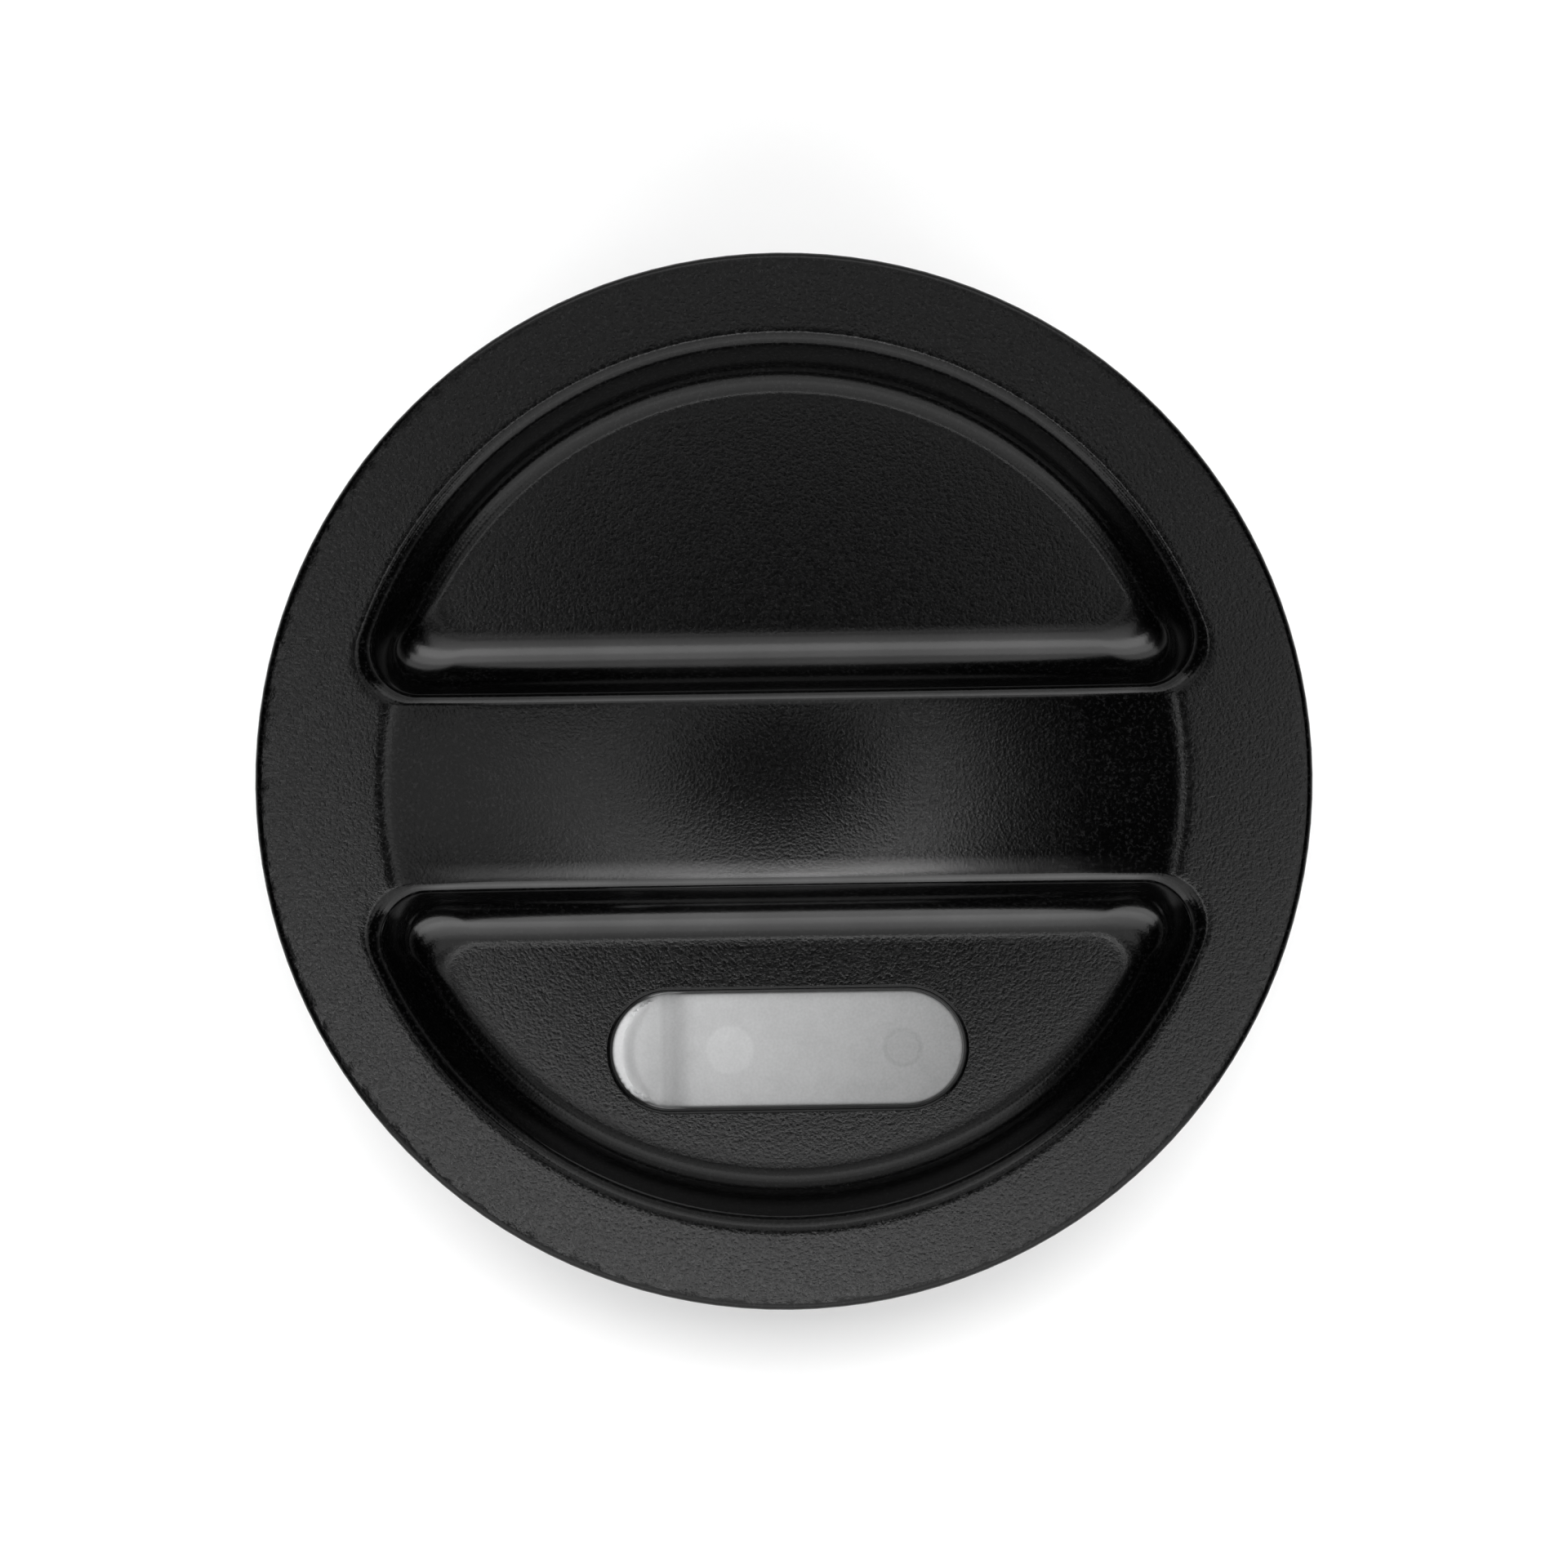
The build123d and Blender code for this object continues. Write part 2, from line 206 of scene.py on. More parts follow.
class MeshParts:
    """Vertices and faces gathered for one mesh."""

    def __init__(self):
        self.points = []
        self.faces = []

    def add(self, points):
        first = len(self.points)
        self.points.extend(tuple(map(float, p)) for p in points)
        return list(range(first, first + len(points)))

    def strips(self, rings):
        """Quads between each ring of vertex numbers and the next."""
        for a, b in zip(rings, rings[1:]):
            n = len(a)
            for k in range(n):
                j = (k + 1) % n
                self.faces.append((a[k], a[j], b[j], b[k]))

    def flat(self, ring):
        return np.array([self.points[i][:2] for i in ring])

    def fill(self, outer, holes, places, height, margin=0.3):
        """Triangles between an outer ring and holes, through those places that are clear of them."""
        borders = [self.flat(loop) for loop in [outer] + holes]
        x, y = places[:, 0], places[:, 1]
        good = inside_polygon(borders[0], x, y)
        for border in borders[1:]:
            good &= ~inside_polygon(border, x, y)
        good[good] &= nearest(np.concatenate(borders), x[good], y[good]) > margin
        places = places[good]
        known = [i for loop in [outer] + holes for i in loop]
        flat = [Vector(self.points[i][:2]) for i in known] + [Vector(p) for p in places]
        known += self.add(np.column_stack([places, height(places[:, 0], places[:, 1])]))
        edges, start = [], 0
        for border in borders:
            n = len(border)
            edges += [(start + k, start + (k + 1) % n) for k in range(n)]
            start += n
        out, _, tris, origin, _, _ = delaunay_2d_cdt(flat, edges, [], 0, 1e-7)
        mids = np.array([np.mean([out[i] for i in tri], axis=0) for tri in tris])
        good = inside_polygon(borders[0], mids[:, 0], mids[:, 1])
        for border in borders[1:]:
            good &= ~inside_polygon(border, mids[:, 0], mids[:, 1])
        for tri, keep in zip(tris, good):
            if keep:
                self.faces.append(tuple(known[origin[i][0]] for i in tri))

    def add_to(self, bm):
        verts = [bm.verts.new(p) for p in self.points]
        for face in self.faces:
            bm.faces.new([verts[i] for i in face])


def finish_mesh(bm, name, sharp_degrees=35):
    """Makes an object of a millimetre mesh, smooth but for its sharp edges."""
    bmesh.ops.remove_doubles(bm, verts=bm.verts, dist=WELD)
    loose = [v for v in bm.verts if not v.link_faces]
    bmesh.ops.delete(bm, geom=loose, context="VERTS")
    bmesh.ops.recalc_face_normals(bm, faces=bm.faces)
    for f in bm.faces:
        f.smooth = True
    for edge in bm.edges:
        edge.smooth = edge.calc_face_angle(0) < math.radians(sharp_degrees)
    open_edges = sum(not edge.is_manifold for edge in bm.edges)
    print(name, "vertices", len(bm.verts), "faces", len(bm.faces), "open edges", open_edges)
    bmesh.ops.scale(bm, vec=(MM,) * 3, verts=bm.verts)
    mesh = bpy.data.meshes.new(name)
    bm.to_mesh(mesh)
    bm.free()
    piece = bpy.data.objects.new(name, mesh)
    bpy.context.scene.collection.objects.link(piece)
    return piece


def cad_copy(node, keep):
    """A welded copy of a CAD node's mesh, in millimetres, with only the faces that keep() accepts."""
    bm = bmesh.new()
    bm.from_mesh(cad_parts[node].data)
    bmesh.ops.scale(bm, vec=(1 / MM,) * 3, verts=bm.verts)
    bmesh.ops.remove_doubles(bm, verts=bm.verts, dist=WELD)
    bm.normal_update()
    gone = [f for f in bm.faces if not keep(f.calc_center_median(), f.normal)]
    bmesh.ops.delete(bm, geom=gone, context="FACES")
    return bm


def border_loops(bm):
    """The open borders of a mesh, lowest first, each as an array of its points in order."""
    nearby = {}
    for edge in bm.edges:
        if edge.is_boundary:
            for v in edge.verts:
                nearby.setdefault(v, []).append(edge.other_vert(v))
    loops = []
    while nearby:
        loop = [next(iter(nearby))]
        step = nearby.pop(loop[0])[0]
        while step is not loop[0]:
            loop.append(step)
            step = next(v for v in nearby.pop(step) if v is not loop[-2])
        loops.append(np.array([v.co for v in loop]))
    return sorted(loops, key=lambda points: points[0][2])


# ---------------------------------------------------------------------------------------------
# The lid
# ---------------------------------------------------------------------------------------------


def plate_height(x, y):
    """The lid's top before the pockets: flat, with the grip bar's dish between two round creases."""
    past_x, past_y = np.abs(x) - BAR_FLAT_X, np.abs(y) - BAR_FLAT_Y
    bulge = np.maximum(ease(past_x / BAR_EASE_X), ease(past_y / BAR_EASE_Y))
    reach = x * x + bulge * y * y
    sag = DISH_DEPTH * (1 - reach / DISH_R**2)
    crown = (1 - bulge) * y * y / (2 * DISH_CROWN)
    return soft_min(np.full_like(x, LID_TOP), LID_TOP - sag - crown, CREASE)


def wall_shape(wall, rise):
    """How steep a pocket's wall gets between its two rounds, to come down a rise within its run."""
    room = wall["round"] + wall["foot"] - rise / 2
    spare = np.sqrt(np.clip(wall["run"] ** 2 - 2 * room * rise, 0, None))
    return np.minimum(2 * np.arctan(rise / (wall["run"] + spare)), STEEPEST)


def wall_height(wall, rise, inset):
    """Height above the pocket's floor at a distance in from where a wall's rim begins to turn."""
    rim, foot, run = wall["round"], wall["foot"], wall["run"]
    steep = wall_shape(wall, rise)
    d = np.clip(inset, 0, run)
    e = run - d
    on_rim = rise - rim + np.sqrt(np.clip(rim**2 - d**2, 0, None))
    on_foot = foot - np.sqrt(np.clip(foot**2 - e**2, 0, None))
    rim_z = rise - rim * (1 - np.cos(steep))
    foot_z = foot * (1 - np.cos(steep))
    rim_d, foot_d = rim * np.sin(steep), run - foot * np.sin(steep)
    along = np.clip((d - rim_d) / np.maximum(foot_d - rim_d, 1e-6), 0, 1)
    between = rim_z + along * (foot_z - rim_z)
    return np.where(d < rim_d, on_rim, np.where(d > foot_d, on_foot, between))


def wall_insets(wall, rise):
    """Distances in from a wall's rim at which the mesh has a ring, for each rise of the wall."""
    steep = wall_shape(wall, rise)
    rim_d, foot_d = wall["round"] * np.sin(steep), wall["run"] - wall["foot"] * np.sin(steep)
    insets = [0 * rise - FLAT_BEFORE]
    insets += [wall["round"] * np.sin(steep * t) for t in np.linspace(0, 1, 11)]
    insets += [rim_d + t * (foot_d - rim_d) for t in (0.2, 0.4, 0.6, 0.8)]
    insets += [wall["run"] - wall["foot"] * np.sin(steep * t) for t in np.linspace(1, 0, 19)]
    insets.append(wall["run"] + FLAT_AFTER + 0 * rise)
    return insets


def pocket_outline(side, round_in, bar_in, corner):
    """A closed outline inside a pocket: the round wall, a corner, the bar-side wall and a corner."""
    bar_y = BAR_WALL[side]["at"] + bar_in
    round_r = RIM_WALL["at"] - round_in
    centre_y = bar_y[0] + corner
    centre_x = math.sqrt((round_r - corner) ** 2 - centre_y**2)
    lift = math.atan2(centre_y, centre_x)
    arc = lift + (math.pi - 2 * lift) * np.arange(ARC_STEPS) / ARC_STEPS
    turn = np.arange(CORNER_STEPS) / CORNER_STEPS
    left = math.pi - lift + (math.pi / 2 + lift) * turn
    right = -math.pi / 2 + (math.pi / 2 + lift) * turn
    line_x = np.linspace(-1, 1, BAR_STEPS + 1)[:-1] * centre_x
    x = [round_r * np.cos(arc), corner * np.cos(left) - centre_x, line_x, corner * np.cos(right) + centre_x]
    y = [round_r * np.sin(arc), corner * np.sin(left) + centre_y, bar_y, corner * np.sin(right) + centre_y]
    return np.concatenate(x), side * np.concatenate(y)


def round_to_bar(on_round, on_bar):
    """One value per point of a pocket's outline, eased through its corners."""
    blend = ease(np.arange(CORNER_STEPS) / CORNER_STEPS)
    left = on_round + blend * (on_bar[0] - on_round)
    right = on_bar[0] + blend * (on_round - on_bar[0])
    return np.concatenate([np.full(ARC_STEPS, on_round), left, on_bar, right])


def pocket_rings(side):
    """Rings of points from the lid's top, over the pocket's rim, down its wall and onto its floor."""
    bar = BAR_WALL[side]
    bar_x = np.linspace(-BAR_REACH, BAR_REACH, BAR_STEPS + 1)[:-1]
    bar_top = plate_height(bar_x, np.full_like(bar_x, side * bar["at"]))
    bar_rise = bar_top - FLOOR_Z
    round_rise = np.array([POCKET_DEPTH])
    top = round_to_bar(LID_TOP, bar_top)
    rings = []
    for round_in, bar_in in zip(wall_insets(RIM_WALL, round_rise), wall_insets(bar, bar_rise)):
        corner = CORNER_ROUND - CORNER_TIGHTER * max(round_in[0], 0)
        x, y = pocket_outline(side, round_in[0], bar_in, corner)
        round_drop = round_rise - wall_height(RIM_WALL, round_rise, round_in)
        drop = round_to_bar(round_drop[0], bar_rise - wall_height(bar, bar_rise, bar_in))
        here = plate_height(x, y)
        height = here + ease(drop / (top - FLOOR_Z)) * (top - here) - drop
        rings.append(np.column_stack([x, y, np.maximum(height, FLOOR_Z)]))
    rings[-1][:, 2] = FLOOR_Z
    rings[-2][:, 2] = FLOOR_Z
    return rings


def is_lid_underside(middle, normal):
    """Whether a face of the CAD lid is one of its outer walls or undersides, which stay as they are."""
    on_top = middle.z > LID_TOP - 2 and middle.xy.length < LID_R - RIM_ROUND
    at_slot = abs(middle.x) < SLOT_HALF + SLOT_END + 0.1 and abs(middle.y - SLOT_Y) < SLOT_HALF + 0.1
    on_slot_wall = at_slot and FLOOR_Z - DOOR_SKIN < middle.z - 0.01 and middle.z < FLOOR_Z + 0.01
    return not on_top and not on_slot_wall and (normal.z < 0.02 or middle.z < FLOOR_Z - 1)


def scaled_ring(parts, loop, radius, height):
    """The round border loop again, at another radius and height."""
    return parts.add([(x * radius / LID_R, y * radius / LID_R, height) for x, y, _ in loop])


def slot_ring(parts, loop, grow, drop):
    """The slot's border loop again, grown outwards and at a depth below the pocket's floor."""
    end = np.clip(loop[:, 0], -SLOT_END, SLOT_END)
    away = np.column_stack([loop[:, 0] - end, loop[:, 1] - SLOT_Y])
    away *= ((SLOT_HALF + grow) / np.hypot(away[:, 0], away[:, 1]))[:, None]
    place = np.column_stack([end, np.full(len(end), SLOT_Y)]) + away
    return parts.add(np.column_stack([place, np.full(len(end), FLOOR_Z - drop)]))


def is_near_crease(x, y):
    """Whether a place is near the creases where the grip bar's dish meets the flat rim."""
    return (np.abs(np.abs(x) - DISH_R + 0.5) < CREASE_MESH) & (np.abs(y) < BAR_FLAT_Y)


def make_lid():
    """The lid: a fine top surface, closed with the CAD lid's own walls and undersides."""
    bm = cad_copy("lid_cover", is_lid_underside)
    slot, outer = border_loops(bm)
    parts = MeshParts()

    rim = [parts.add(outer)]
    for t in np.linspace(0, 1, 9)[1:]:
        a = t * math.pi / 2
        radius = LID_R - RIM_ROUND * (1 - math.cos(a))
        rim.append(scaled_ring(parts, outer, radius, LID_TOP - RIM_ROUND * (1 - math.sin(a))))
    parts.strips(rim)

    slot_edge = [parts.add(slot)]
    for t in np.linspace(0, 1, 5):
        a = t * math.pi / 2
        grow = SLOT_ROUND * (1 - math.cos(a))
        slot_edge.append(slot_ring(parts, slot, grow, SLOT_ROUND * (1 - math.sin(a))))
    slot_edge += [slot_ring(parts, slot, SLOT_ROUND + more, 0) for more in (0.05, 0.3)]
    parts.strips(slot_edge)

    floor_places = grid_points(FLOOR_MESH)
    pockets = {}
    for side, holes in ((1, []), (-1, [slot_edge[-1]])):
        pockets[side] = [parts.add(ring) for ring in pocket_rings(side)]
        parts.strips(pockets[side])
        parts.fill(pockets[side][-1], holes, floor_places, lambda x, y: np.full_like(x, FLOOR_Z))

    top_places = np.concatenate([grid_points(TOP_MESH), grid_points(FINE_MESH, is_near_crease)])
    parts.fill(rim[-1], [pockets[1][0], pockets[-1][0]], top_places, plate_height, margin=0.35)
    parts.add_to(bm)
    return finish_mesh(bm, "lid")


lid = make_lid()
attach(lid, "lid")
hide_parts("lid_cover")

# ---------------------------------------------------------------------------------------------
# The cord door
# ---------------------------------------------------------------------------------------------


def obround_outline(half, end, step=0.35):
    """Points round a slot shape about the cord slot's middle, with their outward normals."""
    turn_count = int(math.pi * half / step)
    line_count = int(2 * end / step)
    points, normals = [], []
    for side in (1, -1):
        for k in range(turn_count):
            a = math.pi * (k / turn_count) - math.pi / 2 + (0 if side > 0 else math.pi)
            c, s = math.cos(a), math.sin(a)
            points.append((side * end + half * c, SLOT_Y + half * s))
            normals.append((c, s))
        for k in range(line_count):
            points.append((side * end * (1 - 2 * k / line_count), SLOT_Y + side * half))
            normals.append((0, side))
    return np.array(points), np.array(normals)


def inside_depth(x, y, half, end, shift=0.0):
    """How deep inside a slot shape a place is."""
    x = x - shift
    return half - np.hypot(x - np.clip(x, -end, end), y - SLOT_Y)


def door_height(x, y):
    """The top of the door's pad: flat, with a finger scoop and the crescent lip at its -X end."""
    start = LIP_THICK - PAD_END - PAD_HALF
    along = np.clip((x - start) / SCOOP_LONG, 0, 1)
    scoop = SCOOP_DEEP * np.sin(math.pi * along**SCOOP_SKEW) ** SCOOP_NARROW
    pad = PAD_Z - scoop
    past_lip = inside_depth(x, y, PAD_HALF, PAD_END, shift=LIP_THICK)
    near_tip = ease((LIP_TIP - x) / LIP_ENDS_LONG)
    down = LIP_SLOPE * np.clip(past_lip + LIP_TOP_WIDE, 0, None)
    return soft_max(pad, PAD_Z + (DOOR_HIGH - PAD_Z) * near_tip - down, LIP_BLEND)


def is_near_lip(x, y):
    """Whether a place is in the part of the pad with the lip and the scoop, which has a finer mesh."""
    left = -SLOT_HALF - SLOT_END
    return (x > left) & (x < left + 8) & (np.abs(y - SLOT_Y) < PAD_HALF)


def is_past_lip(x, y):
    """Whether a place is in the rest of the pad."""
    right = SLOT_HALF + SLOT_END
    return (x > 8.2 - right) & (x < right) & (np.abs(y - SLOT_Y) < PAD_HALF)


def make_door():
    """The door: its plate, the raised pad with nicks at the lip, and two marks on its underside."""
    parts = MeshParts()
    rng = np.random.default_rng(5)

    outline, away = obround_outline(DOOR_HALF, SLOT_END)
    plate_z = PAD_Z - PAD_RISE
    edge = []
    for inset, height in (
        (DOOR_ROUND, DOOR_UNDER),
        (0, DOOR_UNDER + DOOR_ROUND),
        (0, plate_z - DOOR_ROUND),
        (DOOR_ROUND, plate_z),
    ):
        place = outline - away * inset
        edge.append(parts.add(np.column_stack([place, np.full(len(outline), height)])))
    parts.strips(edge)

    outline, away = obround_outline(PAD_HALF, PAD_END, 0.2)
    # Nicks only along the -Y part of the lip
    nicked = ease((SLOT_Y - 0.8 - outline[:, 1]) / 1.5) * ease(LIP_TIP + 0.4 - outline[:, 0])
    nicks = nicked * np.clip(rng.normal(NICK_MEAN, NICK_SPREAD, len(outline)), -0.05, 0.3)
    inside = outline - away * 0.6
    pad_top = door_height(inside[:, 0], inside[:, 1])
    pad = [parts.add(np.column_stack([outline, np.full(len(outline), plate_z)]))]
    for t in np.linspace(0, 1, 6):
        a = t * math.pi / 2
        inset = PAD_ROUND * (1 - math.cos(a)) + nicks * (0.4 + 0.6 * t)
        height = pad_top - PAD_ROUND * (1 - math.sin(a))
        pad.append(parts.add(np.column_stack([outline - away * inset[:, None], height])))
    parts.strips(pad)

    parts.fill(edge[-1], [pad[0]], np.zeros((1, 2)), lambda x, y: np.full_like(x, plate_z))
    lip_places = grid_points(DOOR_MESH_LIP, is_near_lip)
    pad_places = np.concatenate([lip_places, grid_points(DOOR_MESH_FLAT, is_past_lip)])
    parts.fill(pad[-1], [], pad_places, door_height, margin=0.12)

    marks = []
    turns = 2 * math.pi * np.arange(MARK_STEPS) / MARK_STEPS
    for (x, radius), drop in ((DISC_MARK, -MARK_HIGH), (RING_MARK, MARK_HIGH)):
        profile = [(radius, 0), (radius - MARK_DRAFT, drop)]
        if drop > 0:
            profile += [(radius - MARK_LINE + MARK_DRAFT, drop), (radius - MARK_LINE, 0)]
        rings = []
        for r, z in profile:
            level = np.full(MARK_STEPS, DOOR_UNDER + z)
            circle = [x + r * np.cos(turns), SLOT_Y + r * np.sin(turns), level]
            rings.append(parts.add(np.column_stack(circle)))
        parts.strips(rings)
        marks.append(rings[0])
        parts.faces.append(tuple(rings[-1]))
    under = grid_points(DOOR_MESH_UNDER, lambda x, y: np.abs(y - SLOT_Y) < DOOR_HALF)
    parts.fill(edge[0], marks, under, lambda x, y: np.full_like(x, DOOR_UNDER))
    bm = bmesh.new()
    parts.add_to(bm)
    return finish_mesh(bm, "door")


door = make_door()
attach(door, "door")
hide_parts("cord_door")

# ---------------------------------------------------------------------------------------------
# The soft rings
# ---------------------------------------------------------------------------------------------
SOFT_TURNS = 720


def make_soft_ring(name, node, wide, bulge, uneven, seed):
    """A pressed ring of foam or felt: flat faces, bulging edges and an uneven surface."""
    low, high = (corner.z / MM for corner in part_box(node))
    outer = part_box(node)[1].x / MM
    inner = outer - wide
    rng = np.random.default_rng(seed)
    across = np.linspace(0, 1, 9)
    flat = outer - inner - 2 * bulge
    tall = (high - low) / 2
    middle = (high + low) / 2
    edge = np.linspace(-1, 1, 9)[1:-1]
    swell = bulge * (1 - edge**2) ** 0.5
    section = [(inner + bulge + t * flat, low) for t in across]
    section += [(outer - bulge + s, middle + e * tall) for e, s in zip(edge, swell)]
    section += [(outer - bulge - t * flat, high) for t in across]
    section += [(inner + bulge - s, middle - e * tall) for e, s in zip(edge, swell)]
    angle = 2 * math.pi * np.arange(SOFT_TURNS) / SOFT_TURNS
    parts = MeshParts()
    rings = []
    for r, z in section:
        pit = np.abs(rng.normal(0, uneven, SOFT_TURNS))
        radius = r + np.sign((inner + outer) / 2 - r) * pit
        lift = np.sign(middle - z) * np.abs(rng.normal(0, uneven, SOFT_TURNS)) * 0.5
        ring = [radius * np.cos(angle), radius * np.sin(angle), z + lift]
        rings.append(parts.add(np.column_stack(ring)))
    parts.strips(rings + rings[:1])
    bm = bmesh.new()
    parts.add_to(bm)
    return finish_mesh(bm, name, sharp_degrees=180)


gasket = make_soft_ring("foam_gasket", "desk_gasket", 2.0, 0.22, 0.03, 11)
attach(gasket, "liner")
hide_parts("desk_gasket")

felt_ring = make_soft_ring("felt_ring", "lid_pad_ring", 3.2, 0.12, 0.02, 12)
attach(felt_ring, "lid")
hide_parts("lid_pad_ring")

# ---------------------------------------------------------------------------------------------
# Materials
# ---------------------------------------------------------------------------------------------
REMAP_SOCKETS = ("From Min", "From Max", "To Min", "To Max")

# Heights and distances over which the lid's and the door's looks change, in metres
BELOW_TOP = (0.0046, 0.0052)
BELOW_PLATE = (0.0, 0.0005)
BAR_SIDE = (0.0064, 0.0074)
PAST_BAR_SIDE = (0.0116, 0.0130)
ROUND_WALL = (0.0312, 0.0325)
CLEAR_OF_BAR = (0.0110, 0.0150)
PAST_POCKETS = (0.0376, 0.0380)
SKIRT_OUTSIDE = (0.0360, 0.0364)
# Spans of the door's painted shade: in the finger scoop, and towards +X
SCOOP_SHADE_LEFT = (-0.0109, -0.0104)
SCOOP_SHADE_RIGHT = (-0.0096, -0.0076)
DOOR_SHADE_FADE = (-0.006, 0.0145)

LID_ROUGH = 0.12
WALL_ROUGHER = 0.05
OUTSIDE_ROUGHER = 0.22
EVEN_MARKS = (1, 1, 1)
MARKS_ALONG = (0.06, 2, 2)


class Shading:
    """A material with short calls for the few node patterns used here."""

    def __init__(self, name, **sockets):
        self.material = bpy.data.materials.new(name)
        self.material.use_nodes = True
        self.nodes = self.material.node_tree.nodes
        self.links = self.material.node_tree.links
        self.shader = self.nodes["Principled BSDF"]
        for key, value in sockets.items():
            self.shader.inputs[key.replace("_", " ")].default_value = value
        self.place = self.nodes.new("ShaderNodeTexCoord").outputs["Object"]

    def noise(self, size_mm, detail=2.0, roughness=0.5, stretch=(1, 1, 1)):
        mapping = self.nodes.new("ShaderNodeMapping")
        mapping.inputs["Scale"].default_value = [s / (size_mm * MM) for s in stretch]
        self.links.new(self.place, mapping.inputs["Vector"])
        noise = self.nodes.new("ShaderNodeTexNoise")
        noise.inputs["Scale"].default_value = 1
        noise.inputs["Detail"].default_value = detail
        noise.inputs["Roughness"].default_value = roughness
        self.links.new(mapping.outputs["Vector"], noise.inputs["Vector"])
        return noise.outputs["Fac"]

    def part_of_place(self, axis):
        """One coordinate of the surface, in metres."""
        split = self.nodes.new("ShaderNodeSeparateXYZ")
        self.links.new(self.place, split.inputs["Vector"])
        return split.outputs[axis]

    def length(self, first, second):
        """The length of two crossed distances."""
        squares = [self.math("POWER", value, 2) for value in (first, second)]
        return self.math("SQRT", self.math("ADD", *squares))

    def math(self, operation, first, second=None):
        node = self.nodes.new("ShaderNodeMath")
        node.operation = operation
        for value, socket in zip((first, second), node.inputs):
            if isinstance(value, (int, float)):
                socket.default_value = value
            elif value is not None:
                self.links.new(value, socket)
        return node.outputs["Value"]

    def cells(self, size_mm):
        mapping = self.nodes.new("ShaderNodeMapping")
        mapping.inputs["Scale"].default_value = [1 / (size_mm * MM)] * 3
        self.links.new(self.place, mapping.inputs["Vector"])
        cells = self.nodes.new("ShaderNodeTexVoronoi")
        cells.inputs["Scale"].default_value = 1
        self.links.new(mapping.outputs["Vector"], cells.inputs["Vector"])
        return cells.outputs["Distance"]

    def remap(self, value, low, high, to_low, to_high):
        node = self.nodes.new("ShaderNodeMapRange")
        for key, number in zip(REMAP_SOCKETS, (low, high, to_low, to_high)):
            node.inputs[key].default_value = number
        self.links.new(value, node.inputs["Value"])
        return node.outputs["Result"]

    def spread(self, noise, to_low, to_high):
        """A noise, which mostly lies between 0.3 and 0.7, stretched over a range."""
        return self.remap(noise, 0.3, 0.7, to_low, to_high)

    def mix_colour(self, value, first, second):
        node = self.nodes.new("ShaderNodeMix")
        node.data_type = "RGBA"
        node.inputs["A"].default_value = (*first, 1)
        node.inputs["B"].default_value = (*second, 1)
        self.links.new(value, node.inputs["Factor"])
        self.links.new(node.outputs["Result"], self.shader.inputs["Base Color"])

    def bump(self, value, height_mm):
        node = self.nodes.new("ShaderNodeBump")
        node.inputs["Distance"].default_value = height_mm * MM
        self.links.new(value, node.inputs["Height"])
        self.links.new(node.outputs["Normal"], self.shader.inputs["Normal"])

    def link(self, value, socket):
        self.links.new(value, self.shader.inputs[socket])


def wear_material(piece, material):
    piece.data.materials.clear()
    piece.data.materials.append(material)


def lid_plastic():
    """Black plastic with a fine grain, less glossy on its walls and outside, rubbed on the bar's sides."""
    look = Shading("grained_black_plastic", IOR=1.5, Specular_IOR_Level=0.22, Coat_Roughness=0.16)
    grain = look.noise(0.24, detail=2)
    cloud = look.noise(9, detail=3)
    # Painted glints: lighter specks in the colour for the sparkle of the grain
    painted_glints = look.remap(look.noise(0.3, detail=3, roughness=0.7), 0.52, 0.72, 0, 1)
    painted_glints = look.math("MULTIPLY", painted_glints, look.spread(cloud, 0.6, 1))
    look.mix_colour(painted_glints, (0.0008, 0.0008, 0.00085), (0.016, 0.016, 0.0164))
    across = look.math("ABSOLUTE", look.part_of_place("Y"))
    high = look.part_of_place("Z")
    radius = look.length(look.part_of_place("X"), across)
    below = look.remap(high, *BELOW_TOP, 1, 0)
    grip = look.math("MULTIPLY", look.remap(across, *PAST_BAR_SIDE, 1, 0), below)
    grip = look.math("MULTIPLY", look.remap(across, *BAR_SIDE, 0, 1), grip)
    wall = look.math("MULTIPLY", look.remap(radius, *ROUND_WALL, 0, 1), below)
    wall = look.math("MULTIPLY", look.remap(across, *CLEAR_OF_BAR, 0, 1), wall)
    outside = look.math("MULTIPLY", look.remap(radius, *PAST_POCKETS, 0, 1), below)
    skirt = look.remap(high, *BELOW_PLATE, 1, 0)
    skirt = look.math("MULTIPLY", look.remap(radius, *SKIRT_OUTSIDE, 0, 1), skirt)
    outside = look.math("MAXIMUM", outside, skirt)
    rough = look.spread(grain, LID_ROUGH - 0.03, LID_ROUGH + 0.03)
    rough = look.math("ADD", rough, look.math("MULTIPLY", wall, WALL_ROUGHER))
    rough = look.math("ADD", rough, look.math("MULTIPLY", outside, OUTSIDE_ROUGHER))
    look.link(rough, "Roughness")
    look.link(look.math("MULTIPLY", grip, look.spread(cloud, 0.7, 1.0)), "Coat Weight")
    look.bump(grain, 0.009)
    return look.material


def moulded_plastic(name, colour, roughness, grain_mm, deep_mm):
    """Moulded plastic with flow clouds and an even grain."""
    look = Shading(name, IOR=1.5)
    grain = look.noise(grain_mm, detail=3)
    cloud = look.noise(7, detail=3)
    darker, lighter = [c * 0.8 for c in colour], [c * 1.25 for c in colour]
    look.mix_colour(look.spread(cloud, 0, 1), darker, lighter)
    patches = look.noise(2.2, detail=4)
    look.link(look.spread(patches, roughness - 0.06, roughness + 0.06), "Roughness")
    look.bump(grain, deep_mm)
    return look.material


